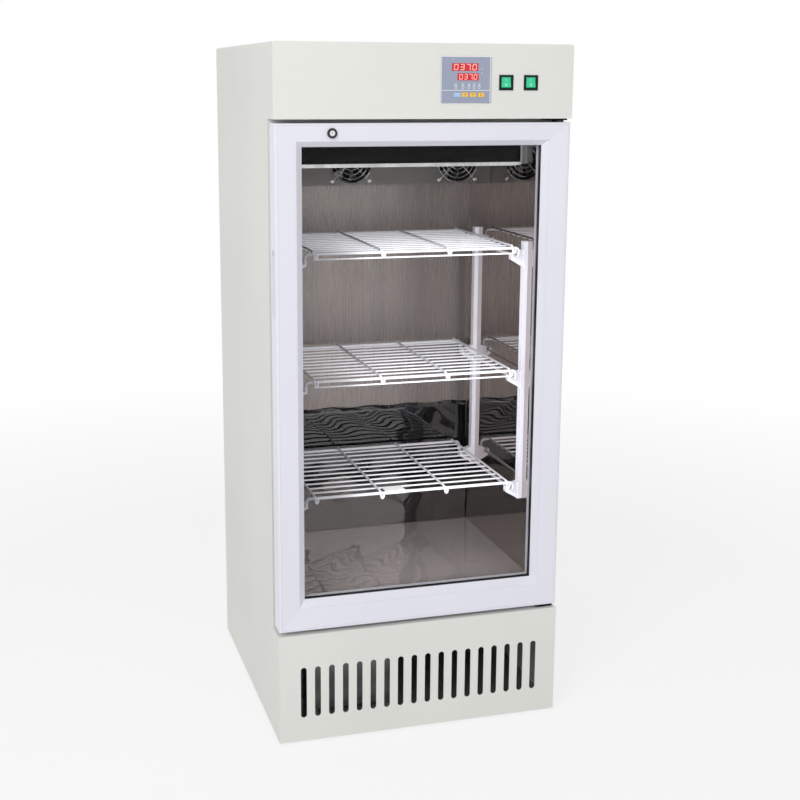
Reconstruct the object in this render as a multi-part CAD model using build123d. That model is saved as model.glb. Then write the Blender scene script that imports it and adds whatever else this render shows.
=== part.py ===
from build123d import *
import math
import os

# Biochemical incubator: a tall steel cabinet with a glass door, a heated and cooled chamber with
# three wire shelves, a control header on top and a machine compartment behind a slotted cover.
# Millimetres. X runs to the right seen from the front, Y to the back, Z up.
# The origin is on the floor, under the middle of the cabinet.

# Cabinet
width = 580.0
depth = 596.0
height = 1351.0
sheet = 1.2
corner_radius = 5.0
foot_gap = 4.0

# Front, from the top down
header_height = 137.0
gap_over_door = 7.0
gap_under_door = 8.0
cover_height = 222.0

# Door
door_thickness = 44.0
gasket_space = 9.0
door_side_inset = 2.0
stile_width = 53.0
top_rail_width = 43.0
bottom_rail_width = 60.0
bead_share = 0.09
crease_share = 0.755
crease_depth = 3.6
glass_depth = 16.0
pane = 4.0
pane_gap = 12.0
glass_grip = 10.0
glass_fit = 0.2
gasket_width = 14.0
gasket_inset = 20.0
gasket_top_inset = 28.0

# Chamber
side_wall = 37.4
machine_space = 143.0
floor_rise = 45.0
ceiling_drop = 42.0
liner = 1.0
frame_plate = 4.0
foam_back = 60.0
foam_rise = 10.0
lower_panel_height = 276.0
fit = 0.3

# Shelves and their posts
top_shelf_drop = 207.0
bottom_shelf_rise = 193.0
middle_shelf_share = 0.4856
shelf_side_gap = 33.6
shelf_shift = 6.0
shelf_rear_gap = 27.0
shelf_front_set_back = 90.0
frame_wire = 3.0
cross_wire = 2.2
thin_wire = 1.7
side_drop = 18.0
cross_rods = 4
cross_margin = 16.0
thin_rods = 10
hook_drop = 19.0
hook_spread = 8.0
tag_width = 41.0
post_width = 16.0
post_thickness = 9.0
post_inset = 26.0

# Circulation fans
fan_size = 92.0
fan_spacing = 234.0
fan_from_side = 76.6
fan_box_depth = 125.0
fan_headroom = 4.0
guard_rings = 5
guard_wire = 1.8
blade_count = 7

# Controls
controller_width = 98.0
controller_height = 83.0
controller_from_side = 215.5
controller_z_down = 66.5
switch_size = 28.0
switch_z_down = 70.7
power_switch_from_side = 136.0
lamp_switch_from_side = 86.5
rocker_tilt = 6.0
shaft_clearance = 0.05

# Door lock
lock_from_side = 109.0
lock_drop = 18.0
cam_length = 31.0

# Machine compartment
slot_pitch = 28.4
slot_width = 12.0
slot_side_margin = 42.0
slot_top_margin = 68.0
slot_bottom_margin = 49.0

# Derived planes
front = -depth / 2
back = depth / 2
side = width / 2
header_bottom = height - header_height
door_top = header_bottom - gap_over_door
cover_top = foot_gap + cover_height
door_bottom = cover_top + gap_under_door
door_side = side - door_side_inset
door_back = front + door_thickness
face = door_back + gasket_space
chamber_side = side - side_wall
chamber_front = face + frame_plate
chamber_back = back - machine_space
chamber_floor = door_bottom + floor_rise
chamber_top = door_top - ceiling_drop
foam_bottom = cover_top + foam_rise
inner_side = side - sheet
shell_back = back - sheet

os.makedirs("parts", exist_ok=True)


def block(x0, x1, y0, y1, z0, z1):
    """Box between its lowest and highest corners."""
    middle = ((x0 + x1) / 2, (y0 + y1) / 2, (z0 + z1) / 2)
    return Pos(*middle) * Box(x1 - x0, y1 - y0, z1 - z0)


def bar_y(x, z, y0, y1, radius):
    """Round bar along Y."""
    return Solid.make_cylinder(radius, y1 - y0, Plane((x, y0, z), z_dir=(0, 1, 0)))


def bar_z(x, y, z0, z1, radius):
    """Round bar along Z."""
    return Solid.make_cylinder(radius, z1 - z0, Plane((x, y, z0)))


def bar_x(y, z, x0, x1, radius):
    """Round bar along X."""
    return Solid.make_cylinder(radius, x1 - x0, Plane((x0, y, z), z_dir=(1, 0, 0)))


def sheet_xz(outline, y0, y1):
    """Flat outline drawn in X and Z, extruded from y0 to y1."""
    plane = Plane((0, y0, 0), x_dir=(1, 0, 0), z_dir=(0, -1, 0))
    return extrude(plane * outline, y1 - y0, dir=(0, 1, 0))


def outline_yz(points, x0, x1):
    """Polygon of (y, z) points, extruded from x0 to x1."""
    plane = Plane((x0, 0, 0), x_dir=(0, 1, 0), z_dir=(1, 0, 0))
    return extrude(plane * Polygon(*points, align=None), x1 - x0, dir=(1, 0, 0))


def outline_xz(points, y0, y1):
    """Polygon of (x, z) points, extruded from y0 to y1."""
    return sheet_xz(Polygon(*points, align=None), y0, y1)


def wire_section(start, toward, radius, sides):
    """Many-sided section of a wire at its start, one flat side up."""
    up = Vector(0, 0, 1) if abs(toward.Z) < 0.9 else Vector(0, 1, 0)
    plane = Plane(start, x_dir=up, z_dir=toward)
    return plane * RegularPolygon(radius, sides, rotation=180 / sides)


def outline_xy(points, z0, z1):
    """Polygon of (x, y) points, extruded from z0 to z1."""
    return extrude(Plane((0, 0, z0)) * Polygon(*points, align=None), z1 - z0, dir=(0, 0, 1))


def straight_wire(a, b, radius, sides=6):
    """Wire from a to b."""
    a, b = Vector(*a), Vector(*b)
    return extrude(wire_section(a, (b - a).normalized(), radius, sides), (b - a).length)


def bent_loop(corners, bend, radius, chords=3, sides=6):
    """Closed wire through the corners, each corner turned on a quarter arc."""
    points = []
    for i, corner in enumerate(corners):
        before = Vector(*corners[i - 1])
        after = Vector(*corners[(i + 1) % len(corners)])
        corner = Vector(*corner)
        u, v = (before - corner).normalized(), (after - corner).normalized()
        centre = corner + (u + v) * bend
        for step in range(chords + 1):
            turn = math.pi / 2 * step / chords
            points.append(centre - v * bend * math.cos(turn) - u * bend * math.sin(turn))
    middle = (points[-1] + points[0]) * 0.5
    section = wire_section(middle, (points[0] - middle).normalized(), radius, sides)
    path = Polyline(*[tuple(p) for p in [middle] + points + [middle]])
    return sweep(section, path=path, transition=Transition.RIGHT)


def save(name, *solids):
    """Writes one node from one solid or a group of separate solids."""
    pieces = [s for shape in solids for s in shape.solids()]
    shape = pieces[0] if len(pieces) == 1 else Compound(children=pieces)
    export_step(shape, "parts/" + name + ".step")


# Cabinet shell: one steel sheet folded over the two sides and the top
def cabinet_outline(inset):
    """Cabinet seen from the front, with its upper corners bent round."""
    bottom = foot_gap
    outline = Pos(0, (bottom + height) / 2) * Rectangle(width - 2 * inset, height - bottom - 2 * inset)
    upper = outline.vertices().group_by(Axis.Y)[-1]
    return fillet(upper, corner_radius - inset)


def outer_shell():
    shell_front = front + sheet
    shell = sheet_xz(cabinet_outline(0), shell_front, shell_back)
    shell -= sheet_xz(cabinet_outline(sheet), shell_front, shell_back)
    shell -= block(-inner_side, inner_side, shell_front, shell_back, foot_gap, foot_gap + 2 * sheet)
    shell -= block(-side, side, shell_front, face, cover_top, header_bottom)
    return shell - block(-side, side, shell_front, door_back + fit, foot_gap, cover_top)


def back_panel():
    panel = sheet_xz(cabinet_outline(0), shell_back, back)
    for column in (-1, 1):
        for row in range(5):
            x, z = column * vent_offset, vent_lowest + row * vent_pitch
            panel -= block(x - vent_length / 2, x + vent_length / 2, shell_back, back, z, z + vent_height)
    return panel - bar_y(gland_x, gland_z, shell_back, back, gland_body + fit)


vent_length, vent_height, vent_pitch, vent_lowest, vent_offset = 150.0, 8.0, 20.0, 70.0, 100.0
gland_x, gland_z = side - 75.0, 120.0
gland_flange, gland_body, gland_bore = 12.0, 8.8, 4.5


def cord_gland():
    """Snap-in bush for the supply cord in the back panel."""
    proud, length = 2.0, 12.0
    bush = bar_y(gland_x, gland_z, back, back + proud, gland_flange)
    bush += bar_y(gland_x, gland_z, back - length, back, gland_body)
    return bush - bar_y(gland_x, gland_z, back - length, back + proud, gland_bore)


# Base pan and levelling feet
pan_top = 12.0
pan_plate = 2.0
foot_inset = 45.0


def base_pan():
    pan_side, pan_front, pan_back = inner_side - fit, door_back + 2.0, shell_back - fit
    lip = foot_gap + 0.5
    pan = block(-pan_side, pan_side, pan_front, pan_back, lip, pan_top)
    inner = pan_side - pan_plate
    return pan - block(-inner, inner, pan_front + pan_plate, pan_back - pan_plate, lip, pan_top - pan_plate)


def levelling_feet():
    feet = []
    for x in (-side + foot_inset, side - foot_inset):
        for y in (front + foot_inset + 40.0, back - foot_inset):
            foot = bar_z(x, y, 0, 5.0, 19.0)
            foot += straight_wire((x, y, 5.0), (x, y, pan_top - pan_plate), 6.0)
            feet.append(foot)
    return feet


# Insulation boards round the chamber
board_inner = chamber_side + liner
board_front = chamber_front
board_back = chamber_back + liner
board_low = chamber_floor - liner
board_high = chamber_top + liner
board_top = header_bottom - sheet


def insulation():
    rear = board_back + foam_back
    boards = [
        block(-inner_side, -board_inner, board_front, rear, foam_bottom, board_top),
        block(board_inner, inner_side, board_front, rear, foam_bottom, board_top),
        block(-board_inner, board_inner, board_front, rear, board_high, board_top),
        block(-board_inner, board_inner, board_front, rear, foam_bottom, board_low),
        block(-board_inner, board_inner, board_back, rear, board_low, board_high),
    ]
    return boards


# Stainless liner of the chamber
def liner_sides():
    return [
        block(-board_inner, -chamber_side, chamber_front, board_back, board_low, board_high),
        block(chamber_side, board_inner, chamber_front, board_back, board_low, board_high),
    ]


def liner_ceiling():
    return block(-chamber_side, chamber_side, chamber_front, chamber_back, chamber_top, board_high)


def liner_floor():
    return block(-chamber_side, chamber_side, chamber_front, chamber_back, board_low, chamber_floor)


def liner_back():
    return block(-chamber_side, chamber_side, chamber_back, board_back, board_low, board_high)


def lower_back_panel():
    """Polished cover over the lower back wall, its upper edge folded back to the wall."""
    stand_off, fold = 7.0, 10.0
    plane = chamber_back - stand_off
    low = chamber_floor + fit
    high = chamber_floor + lower_panel_height
    rear = chamber_back - fit
    outline = [(plane, low), (plane, high), (rear, high + fold), (rear, high + fold - 1.4), (plane + liner, high - 0.5),
               (plane + liner, low)]
    return outline_yz(outline, -chamber_side + 2.0, chamber_side - 2.0)


def front_frame():
    """Breaker frame that carries the door's seal."""
    plate = block(-inner_side, inner_side, face, chamber_front, cover_top, header_bottom)
    return plate - block(-chamber_side, chamber_side, face, chamber_front, chamber_floor, chamber_top)


# Header fascia with its cut-outs
controller_x = side - controller_from_side
controller_z = height - controller_z_down
power_switch_x = side - power_switch_from_side
lamp_switch_x = side - lamp_switch_from_side
switch_z = height - switch_z_down
lock_x = -side + lock_from_side
lock_z = door_top - lock_drop
case_margin = 4.0
switch_margin = 1.2


def control_fascia():
    outline = Pos(0, height - header_height / 2) * RectangleRounded(width, header_height, corner_radius)
    fascia = sheet_xz(outline, front, front + sheet)
    fascia += block(-inner_side + fit, inner_side - fit, front + sheet, face - fit, header_bottom, header_bottom + sheet)
    x, z = controller_width / 2 - case_margin + fit, controller_height / 2 - case_margin + fit
    fascia -= block(controller_x - x, controller_x + x, front, front + sheet, controller_z - z, controller_z + z)
    half = switch_size / 2 - switch_margin + fit
    for centre in (power_switch_x, lamp_switch_x):
        fascia -= block(centre - half, centre + half, front, front + sheet, switch_z - half, switch_z + half)
    cam_reach = math.sqrt(cam_length ** 2 + cam_half ** 2 - (lock_drop + gap_over_door) ** 2)
    y0, y1 = cam_front - cam_gap, cam_back + cam_gap
    x0, x1 = lock_x - cam_half - cam_gap, lock_x + cam_reach + cam_gap
    return fascia - block(x0, x1, y0, y1, header_bottom, header_bottom + sheet)


# Temperature controller
face_thickness = 1.6
display_sizes = {"upper": (52.0, 14.0, -2.5, 23.5), "lower": (42.0, 13.0, 3.5, 6.0)}
key_height = 8.0
key_drop = 26.5
keys = {"key_set": (-17.5, 14.0), "key_shift": (-2.5, 12.0), "key_down": (13.5, 12.0), "key_up": (29.5, 12.0)}
key_fit = 0.25
key_travel = 0.8
key_proud = 0.3
key_depth = 3.0


def controller_box(x, z, wide, high, y0, y1):
    """Box placed from the controller's centre."""
    cx, cz = controller_x + x, controller_z + z
    return block(cx - wide / 2, cx + wide / 2, y0, y1, cz - high / 2, cz + high / 2)


def controller_face():
    plate = controller_box(0, 0, controller_width, controller_height, front - face_thickness, front)
    for wide, high, x, z in display_sizes.values():
        plate -= controller_box(x, z, wide, high, front - face_thickness, front)
    for x, wide in keys.values():
        plate -= controller_box(x, -key_drop, wide + 2 * key_fit, key_height + 2 * key_fit, front - face_thickness, front)
    return plate


def controller_case():
    case_depth = 58.0
    wide, high = controller_width - 2 * case_margin, controller_height - 2 * case_margin
    case = controller_box(0, 0, wide, high, front, front + case_depth)
    well = key_depth + key_travel
    return case - controller_box(4.0, -key_drop, 76.0, key_height + 2, front, front + well)


def display_windows():
    windows = []
    for wide, high, x, z in display_sizes.values():
        windows.append(controller_box(x, z, wide - 0.1, high - 0.1, front - face_thickness + 0.2, front))
    return windows


def controller_key(name):
    x, wide = keys[name]
    outer = front - face_thickness - key_proud
    return controller_box(x, -key_drop, wide, key_height, outer, outer + key_depth)


# Lit rocker switches
bezel_proud = 1.6
rocker_half = 9.3
pivot_y = front + 6.0
pin_radius = 1.5


def switch_housing(x):
    half, body = switch_size / 2, switch_size / 2 - switch_margin
    housing = block(x - half, x + half, front - bezel_proud, front, switch_z - half, switch_z + half)
    housing += block(x - body, x + body, front, front + 26.0, switch_z - body, switch_z + body)
    wide, high = rocker_half + fit, rocker_half + 0.8
    housing -= block(x - wide, x + wide, front - bezel_proud, pivot_y + 8.0, switch_z - high, switch_z + high)
    reach = wide + 2.0
    return housing - bar_x(pivot_y, switch_z, x - reach, x + reach, pin_radius + shaft_clearance)


def rocker(x):
    """Shallow V of a rocker on its two pins, tilted to its rest side."""
    h = rocker_half
    outline = [(-6.8, -h), (-6.0, 0), (-6.8, h), (0, h), (3.0, 6.0), (3.0, -6.0), (0, -h)]
    points = [(pivot_y + y, switch_z + z) for y, z in outline]
    body = outline_yz(points, x - rocker_half, x + rocker_half)
    reach = rocker_half + 1.8
    body += bar_x(pivot_y, switch_z, x - reach, x + reach, pin_radius)
    return body.rotate(Axis((x, pivot_y, switch_z), (1, 0, 0)), -rocker_tilt)


# Slotted cover of the machine compartment
def grille_cover():
    low, rear = foot_gap, door_back
    cover = block(-side, side, front, rear, low, cover_top)
    cover -= block(-inner_side, inner_side, front + sheet, rear, low + sheet, cover_top - sheet)
    cover -= block(-inner_side, inner_side, front + 18.0, rear, low, low + sheet)
    cover += block(-inner_side, inner_side, rear, face - fit, cover_top - sheet, cover_top)
    slots = []
    slot_count = int((width - 2 * slot_side_margin - slot_width) / slot_pitch) + 1
    slot_low, slot_high = low + slot_bottom_margin, cover_top - slot_top_margin
    for i in range(slot_count):
        x = (i - (slot_count - 1) / 2) * slot_pitch
        slot = SlotOverall(slot_high - slot_low, slot_width, rotation=90)
        slots.append(Pos(x, (slot_low + slot_high) / 2) * slot)
    return cover - sheet_xz(Sketch(children=slots), front, front + sheet)


# Door frame: four mitred members of one moulded profile
bead_round = 3.0
rear_lip = 2.0


def frame_profile(wide):
    """Section of a member: (distance in from its outer edge, depth from the front)."""
    bead, crease = bead_share * wide, crease_share * wide
    groove = wide - glass_grip - 1.0
    glass_back = glass_depth + 2 * pane + pane_gap + 2 * glass_fit
    return [
        (0, door_thickness), (0, bead_round), (0.9, 0.9), (bead_round, 0), (bead - 0.4, 0), (bead, 0.8),
        (bead + 0.4, 0.2), (crease, crease_depth), (crease + 0.4, crease_depth + 0.8), (crease + 0.8, crease_depth + 0.4),
        (wide, glass_depth - 1.5), (wide, glass_depth), (groove, glass_depth), (groove, glass_back),
        (wide - rear_lip, glass_back), (wide - rear_lip, door_thickness),
    ]


door_middle = (door_top + door_bottom) / 2
glass_side = door_side - stile_width
glass_top = door_top - top_rail_width
glass_bottom = door_bottom + bottom_rail_width


def door_stile(hand):
    """Upright member; hand is -1 for the left and 1 for the right."""
    points = [(hand * (door_side - u), front + v) for u, v in frame_profile(stile_width)]
    stile = outline_xy(points, door_bottom, door_top)
    outline = [(hand * door_side, door_bottom), (hand * door_side, door_top), (hand * glass_side, glass_top),
               (hand * glass_side, glass_bottom)]
    return stile & outline_xz(outline, front, door_back)


def door_rail(wide, edge, inward):
    """Level member along an edge height; inward is 1 up into the door or -1 down into it."""
    points = [(front + v, edge + inward * u) for u, v in frame_profile(wide)]
    rail = outline_yz(points, -door_side, door_side)
    inner = edge + inward * wide
    outline = [(-door_side, edge), (door_side, edge), (glass_side, inner), (-glass_side, inner)]
    return rail & outline_xz(outline, front, door_back)


def glass_edges():
    return glass_side + glass_grip, glass_bottom - glass_grip, glass_top + glass_grip


def glass_pane(y):
    edge, low, high = glass_edges()
    return block(-edge, edge, y, y + pane, low, high)


outer_pane_y = front + glass_depth + glass_fit
inner_pane_y = outer_pane_y + pane + pane_gap
spacer_width = 8.0


def glass_spacer():
    edge, low, high = glass_edges()
    y0, y1 = outer_pane_y + pane, inner_pane_y
    ring = block(-edge, edge, y0, y1, low, high)
    w = spacer_width
    return ring - block(-edge + w, edge - w, y0, y1, low + w, high - w)


def door_gasket():
    x, y1, w = door_side - gasket_inset, face - fit, gasket_width
    low, high = door_bottom + gasket_inset, door_top - gasket_top_inset
    ring = block(-x, x, door_back, y1, low, high)
    return ring - block(-x + w, x - w, door_back, y1, low + w, high - w)


# Finger grip let into the door's left edge
grip_drop, grip_length = 227.0, 133.0
grip_low, grip_high = door_top - grip_drop - grip_length, door_top - grip_drop
grip_front, grip_back, grip_depth = front + 6.0, front + 36.0, 13.0
grip_wall = 1.5
grip_bevel = 12.0


def grip_block(inset, reach):
    """Grip recess with bevelled ends, drawn smaller by inset, reaching in by reach."""
    y0, y1, z0, z1 = grip_front + inset, grip_back - inset, grip_low + inset, grip_high - inset
    slope = min(grip_bevel, (y1 - y0) / 2 - 1)
    outline = [(y0, z0 + slope), (y0 + slope, z0), (y1 - slope, z0), (y1, z0 + slope), (y1, z1 - slope),
               (y1 - slope, z1), (y0 + slope, z1), (y0, z1 - slope)]
    return outline_yz(outline, -door_side, -door_side + reach)


def door_grip():
    return grip_block(fit, grip_depth - fit) - grip_block(fit + grip_wall, grip_depth - fit - grip_wall)


# Lock: housing in the top rail, and a turning barrel with its cam
lock_hole, barrel = 7.7, 5.0
lock_proud = 2.0
cam_front, cam_back = door_back + 0.6, door_back + 2.8
cam_half = 5.0
cam_gap = 1.8


def lock_housing():
    body = bar_y(lock_x, lock_z, front, door_back, lock_hole - 0.2)
    body += bar_y(lock_x, lock_z, front - lock_proud + 0.5, front, 9.3)
    return body - bar_y(lock_x, lock_z, front - lock_proud, door_back, barrel + shaft_clearance)


def lock_barrel():
    body = bar_y(lock_x, lock_z, front - lock_proud, cam_back, barrel)
    key_way = block(lock_x - 0.8, lock_x + 0.8, front - lock_proud, front + 4.0, lock_z - 3.2, lock_z + 3.2)
    cam = block(lock_x - cam_half, lock_x + cam_length, cam_front, cam_back, lock_z - cam_half, lock_z + cam_half)
    return body - key_way + cam


# Hinges on the right
hinge_inset = 16.0
hinge_x = door_side - hinge_inset
hinge_y = front + 20.0
hinge_pin, bush_outer = 4.0, 6.5
bracket_plate = 3.0
bracket_leg = 2.5
bracket_inward, bracket_outward = 22.0, 13.0
pin_reach = 14.0


def hinge_bracket(edge, out):
    """Angle bracket over or under the door; edge is the door's edge height, out points away from the door."""
    gap = gap_over_door if out > 0 else gap_under_door
    outer = edge + out * (gap - 0.5)
    inner = outer - out * bracket_plate
    z0, z1 = min(inner, outer), max(inner, outer)
    x0, x1 = hinge_x - bracket_inward, hinge_x + bracket_outward
    plate = block(x0, x1, hinge_y - 9.0, face - fit, z0, z1)
    end = edge - out * 34.0
    leg = block(hinge_x, x1, face - bracket_leg, face - fit, min(end, outer), max(end, outer))
    tip = edge - out * pin_reach
    pin = bar_z(hinge_x, hinge_y, min(tip, inner), max(tip, inner), hinge_pin)
    return plate + leg + pin


def bush_parts(edge, out):
    """Flange and body limits of a hinge bush."""
    gap = gap_over_door if out > 0 else gap_under_door
    flange = edge + out * (gap - 0.5 - bracket_plate - fit)
    return flange, edge - out * (pin_reach + 1.0)


def hinge_bush(edge, out):
    flange, tip = bush_parts(edge, out)
    bush = bar_z(hinge_x, hinge_y, min(edge, flange), max(edge, flange), 9.0)
    bush += bar_z(hinge_x, hinge_y, min(edge, tip), max(edge, tip), bush_outer)
    return bush - bar_z(hinge_x, hinge_y, min(tip, flange), max(tip, flange), hinge_pin + shaft_clearance)


def cut_hinge_holes(member):
    for edge, out in ((door_top, 1), (door_bottom, -1)):
        tip = edge - out * (pin_reach + 1.3)
        member -= bar_z(hinge_x, hinge_y, min(edge, tip), max(edge, tip), bush_outer + 0.2)
    return member


# Wire shelves
shelf_front = front + shelf_front_set_back
shelf_rear = chamber_back - shelf_rear_gap
shelf_depth = shelf_rear - shelf_front
shelf_side = chamber_side - shelf_side_gap
top_level, bottom_level = chamber_top - top_shelf_drop, chamber_floor + bottom_shelf_rise
middle_level = bottom_level + middle_shelf_share * (top_level - bottom_level)
shelf_levels = {"top": top_level, "middle": middle_level, "bottom": bottom_level}
shelf_left, shelf_right = shelf_shift - shelf_side, shelf_shift + shelf_side
rods_left, rods_right = shelf_left + cross_margin, shelf_right - cross_margin
rod_pitch = (rods_right - rods_left) / (cross_rods - 1)
hexagon = math.cos(math.pi / 6)


def wire_shelf(level, second_rod):
    """Bent frame wire, cross rods that end in pointed hooks, and thin rods under them."""
    low = level - side_drop
    corners = []
    for x, y, turn in ((shelf_right, shelf_front, 1), (shelf_right, shelf_rear, -1), (shelf_left, shelf_rear, 1),
                       (shelf_left, shelf_front, -1)):
        ends = [(x, y, level), (x, y, low)]
        corners += ends[::turn]
    shelf = bent_loop(corners, 8.0, frame_wire)
    cross_z = level + (frame_wire + cross_wire) * hexagon - 0.5
    thin_z = cross_z - (cross_wire + thin_wire) * hexagon + 0.5
    rods = []
    for i in range(cross_rods):
        x = rods_left + rod_pitch * i
        tip = (x + 5.0, shelf_front - 6.0, level - hook_drop)
        rods.append(straight_wire((x, shelf_front - 3.0, cross_z), (x, shelf_rear + 2.0, cross_z), cross_wire))
        rods.append(straight_wire((x, shelf_front - 2.5, cross_z), tip, cross_wire))
        rods.append(straight_wire(tip, (x + hook_spread, shelf_front - 3.0, level - 1.0), cross_wire))
    for i in range(thin_rods):
        y = shelf_front + shelf_depth * (i + 1) / (thin_rods + 1)
        rods.append(straight_wire((rods_left, y, thin_z), (rods_right, y, thin_z), thin_wire))
    if second_rod:
        y, z = shelf_front - 4.5, level - side_drop / 2 - 1.0
        rods.append(straight_wire((rods_left, y, z), (rods_right + 4.0, y, z), thin_wire))
    return shelf.fuse(*rods)


def shelf_tag():
    """Small marker plate clipped over the front wire of the bottom shelf, beside the second hook."""
    level = shelf_levels["bottom"]
    x0 = rods_left + rod_pitch + hook_spread + cross_wire + 1.0
    x1, thick = x0 + tag_width, 1.2
    y, r = shelf_front, frame_wire + fit
    outline = [(y - r - thick, level - 2.0), (y - r, level - 2.0), (y - r, level + r), (y + 24.0, level + r),
               (y + 24.0, level + r + thick), (y - r - thick, level + r + thick)]
    return outline_yz(outline, x0, x1)


# Shelf posts on the chamber's sides, each with three clips
post_y = {"front": shelf_front + post_inset, "rear": shelf_rear - post_inset}


def shelf_post(hand, place):
    """Upright strip with a clip under each shelf's side wire; hand is -1 left or 1 right."""
    y0, y1 = post_y[place] - post_width / 2, post_y[place] + post_width / 2
    wall = chamber_side - 0.1
    strip = wall - post_thickness
    bottom, top = shelf_levels["bottom"] - 42.0, shelf_levels["top"] + 10.0
    x = sorted((hand * strip, hand * wall))
    post = block(x[0], x[1], y0, y1, bottom, top)
    rest = shelf_side + hand * shelf_shift
    for level in shelf_levels.values():
        z = level - side_drop
        r = frame_wire + fit
        seat = [(strip + 1.0, z - 26.0), (strip - 3.0, z - 22.0), (rest - 8.0, z - 8.0), (rest - 8.0, z + 4.0),
                (rest - r - 1.0, z + 4.0), (rest - r, z + 1.0), (rest - r, z - r),
                (rest + r, z - r), (rest + r, z + 8.0), (strip + 1.0, z + 12.0)]
        clip = outline_xz([(hand * a, b) for a, b in seat], y0 + 1.0, y1 - 1.0)
        post += clip
    return post


# Circulation fans behind a folded plate under the ceiling
plate_y = chamber_back - fan_box_depth
fan_box_height = fan_size + fan_headroom
fan_z = chamber_top - fan_size / 2 - 1.0
fan_right = chamber_side - fan_from_side
fan_places = {"left": fan_right - fan_spacing, "right": fan_right}
fan_bore = fan_size / 2 - 2.5
fan_frame_depth = 25.0
hub_radius = 17.0
shaft_radius = 2.0
blade_root_y = plate_y + liner + 5.0
hub_length = 14.0


def fan_box():
    wide, low, high = chamber_side - fit, chamber_top - fan_box_height, chamber_top - fit
    plate = block(-wide, wide, plate_y, plate_y + liner, low, high)
    plate += block(-wide, wide, plate_y, chamber_back - fit, low, low + liner)
    for x in fan_places.values():
        plate -= bar_y(x, fan_z, plate_y, plate_y + liner, fan_bore)
    return plate


def fan_guard(x):
    """Rings of wire on two crossed spokes, which end in eyes screwed to the plate."""
    y_ring, y_spoke = plate_y - 6.0, plate_y - 6.0 + guard_wire
    outer = fan_size / 2
    guard = None
    for i in range(guard_rings):
        radius = outer * (i + 1) / guard_rings
        ring = bar_y(x, fan_z, y_ring, y_ring + guard_wire, radius)
        ring -= bar_y(x, fan_z, y_ring, y_ring + guard_wire, radius - guard_wire)
        guard = ring if guard is None else guard + ring
    eye = (fan_size / 2 - 6.0) * math.sqrt(2)
    for angle in (45, 135):
        spoke = Pos(x, y_spoke + guard_wire / 2, fan_z) * Rot(0, angle, 0) * Box(2 * eye, guard_wire, guard_wire)
        guard += spoke
        for end in (-eye, eye):
            a = math.radians(angle)
            ex, ez = x + end * math.cos(a), fan_z - end * math.sin(a)
            guard += straight_wire((ex, y_spoke, ez), (ex, plate_y, ez), 4.0)
    return guard


def fan_motors():
    """Square fan frames, each with a motor on three arms and its shaft."""
    motors = []
    y0 = plate_y + liner
    y1 = y0 + fan_frame_depth
    half = fan_size / 2
    for x in fan_places.values():
        frame = block(x - half, x + half, y0, y1, fan_z - half, fan_z + half)
        frame -= bar_y(x, fan_z, y0, y1, fan_bore)
        arms = None
        for angle in (90, 210, 330):
            a = math.radians(angle)
            end = (x + (fan_bore + 1.0) * math.cos(a), y1 - 2.0, fan_z + (fan_bore + 1.0) * math.sin(a))
            frame += straight_wire((x, y1 - 2.0, fan_z), end, 2.0)
        frame += bar_y(x, fan_z, blade_root_y + hub_length + 1.0, y1 + 8.0, 15.0)
        frame += bar_y(x, fan_z, blade_root_y + 2.0, y1, shaft_radius)
        motors.append(frame)
    return motors


def bladed_wheel(x, y, z, tip, hub, length, bore, count, chord, twist):
    """Hub with blades set round it, each a thin plate turned about its own radius."""
    wheel = bar_y(x, z, y, y + length, hub)
    for i in range(count):
        blade = Pos((hub + tip) / 2 - 1.0, 0, 0) * Rot(twist, 0, 0) * Box(tip - hub + 2.0, 1.6, chord)
        blade = Pos(x, y + length / 2, z) * Rot(0, i * 360.0 / count, 0) * blade
        wheel += blade
    wheel &= bar_y(x, z, y - 10.0, y + length + 10.0, tip)
    return wheel - bar_y(x, z, y - 0.5, y + length + 0.5, bore)


def circulation_wheel(x):
    tip = fan_bore - 2.5
    return bladed_wheel(x, blade_root_y, fan_z, tip, hub_radius, hub_length, shaft_radius + shaft_clearance, blade_count,
                        17.0, 50.0)


def evaporator():
    """Finned block with an end plate at each side, behind the fans."""
    y0, y1 = plate_y + liner + fan_frame_depth + 14.0, chamber_back - fit
    z0, z1 = chamber_top - fan_box_height + liner + fit, chamber_top - 12.0
    block_side, end_plate = chamber_side - 60.0, 2.0
    coil = block(-block_side, block_side, y0 + 3.0, y1 - 3.0, z0 + 4.0, z1 - 4.0)
    for x in (-block_side - end_plate, block_side):
        coil += block(x, x + end_plate, y0, y1, z0, z1)
    return coil


def temperature_probe():
    """Capillary bulb that lies on the floor of the fan box."""
    z = chamber_top - fan_box_height + liner + 3.0 + fit
    return bar_x(plate_y + 34.0, z, -40.0, 30.0, 3.0)


# Lamp behind a dark shield at the chamber's front
shield_front = face + 15.0
shield_bottom = chamber_top - 35.5
shield_end = chamber_side - 39.0
trim_height = 7.0
trim_end = 26.0


def lamp_shield():
    return block(-chamber_side + fit, shield_end, shield_front, shield_front + 3.0, shield_bottom, chamber_top - fit)


def lamp_trim():
    """Bright strip under the shield, turned back into a tray, with an upright end piece."""
    y0, wide = shield_front - 1.5, chamber_side - fit
    z0, z1 = shield_bottom - trim_height, shield_bottom - fit
    start, finish = shield_end + fit, shield_end + trim_end
    strip = [(-wide, z0), (start - 10.0, z0), (finish, z1), (-wide, z1)]
    trim = outline_xz(strip, y0, shield_front)
    trim += block(-wide, finish, y0, shield_front + 34.0, z1 - 1.2, z1)
    step = start + 0.45 * (finish - start)
    folds = [(start, y0), (step, y0), (step + 2.0, y0 + 2.0), (finish, y0 + 2.0), (finish, y0 + 4.5), (start, y0 + 4.5)]
    upright = outline_xy(folds, shield_bottom, chamber_top - fit)
    return [trim, upright]


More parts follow.
